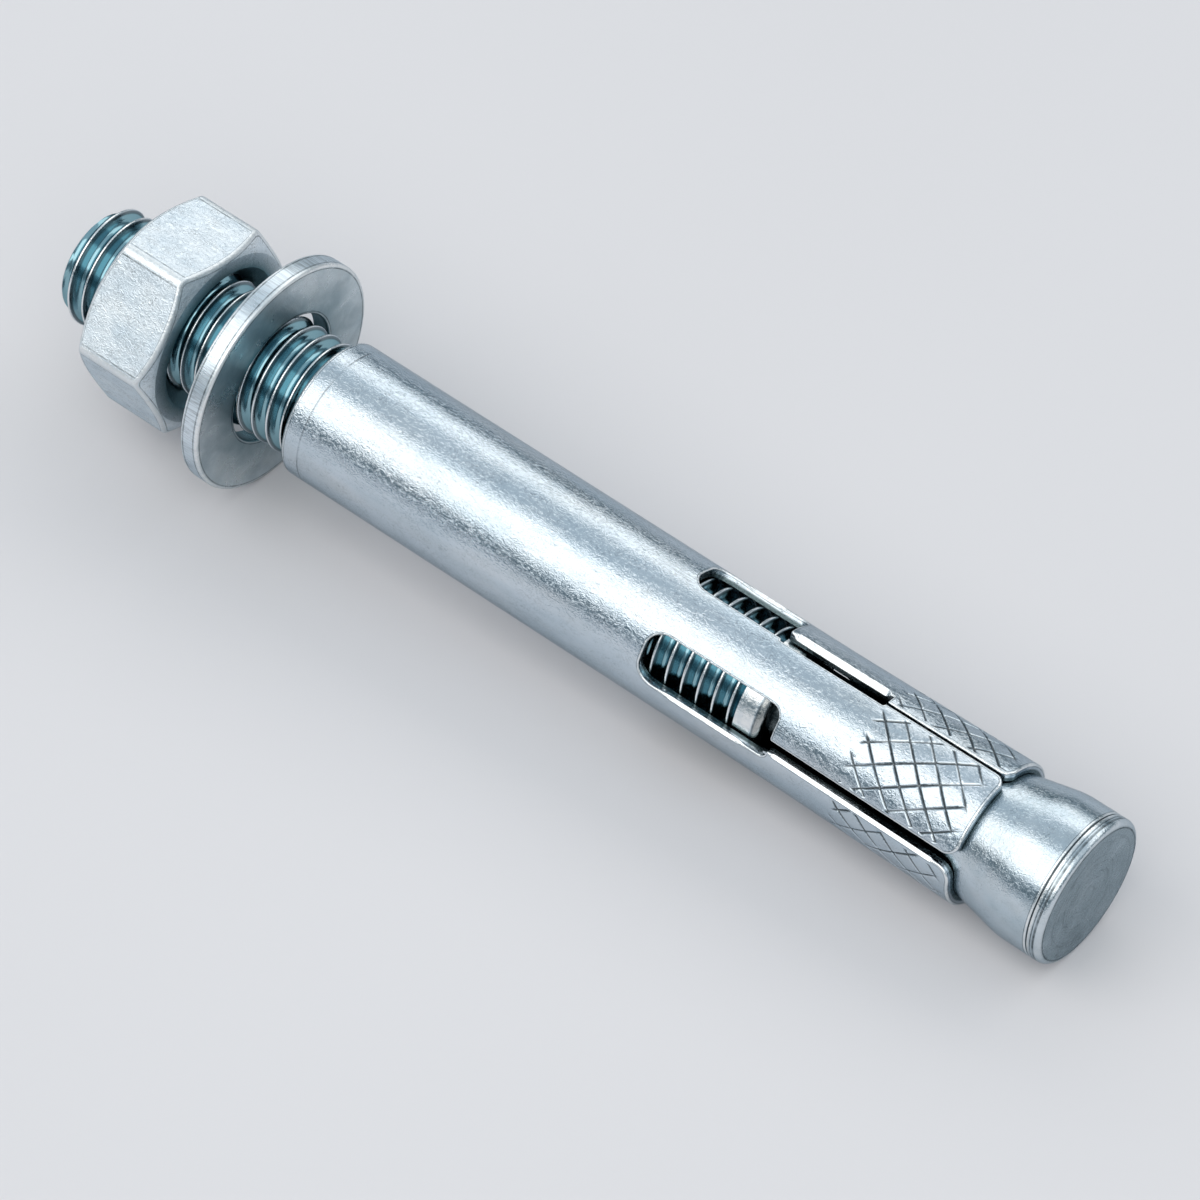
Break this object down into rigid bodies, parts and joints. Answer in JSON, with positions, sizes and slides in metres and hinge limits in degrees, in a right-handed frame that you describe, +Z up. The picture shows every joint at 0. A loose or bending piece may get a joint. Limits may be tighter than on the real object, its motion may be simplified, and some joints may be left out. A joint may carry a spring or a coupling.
{
  "type": "sleeve anchor bolt",
  "caption": "Zinc-plated sleeve anchor: threaded stud with a flared cone head, slit and windowed expansion sleeve with a knurled end, loose washer and hexagon nut.",
  "frame": {"origin": "on the floor, below the middle of the bolt as it lies", "axes": "+X along the bolt from the nut towards the cone, +Z up; the bolt's own axis slopes down towards the cone by 2.84 degrees, because it lies on the washer's rim and the cone's rim"},
  "size_m": [0.1166, 0.024, 0.024],
  "materials": {
    "zinc_stud": "bright zinc plating",
    "zinc_sleeve": "bright zinc plating, finely scratched",
    "zinc_washer": "zinc plating, tumbled",
    "zinc_nut": "bright zinc plating, finely grained"
  },
  "bodies": {
    "stud": {"stud": "zinc_stud"},
    "sleeve": {"sleeve": "zinc_sleeve"},
    "washer": {"washer": "zinc_washer"},
    "nut": {"nut": "zinc_nut"}
  },
  "joints": [
    {"name": "washer_slide", "type": "slide", "parent": "stud", "child": "washer", "axis": [0.9988, 0, -0.0496], "range_m": [-0.00613, 0.0035]},
    {"name": "nut_spin", "type": "hinge", "parent": "washer", "child": "nut", "pos_m": [-0.04738, 0, 0.01258], "axis": [0.9988, 0, -0.0496], "range_deg": [-1260, 720]},
    {"name": "sleeve_slide", "type": "slide", "parent": "stud", "child": "sleeve", "axis": [-0.9988, 0, 0.0496], "range_m": [0, 0.0022]}
  ],
  "couplings": [
    {"joint": "washer_slide", "follows": "nut_spin", "m_per_rad": 0.00027852}
  ]
}
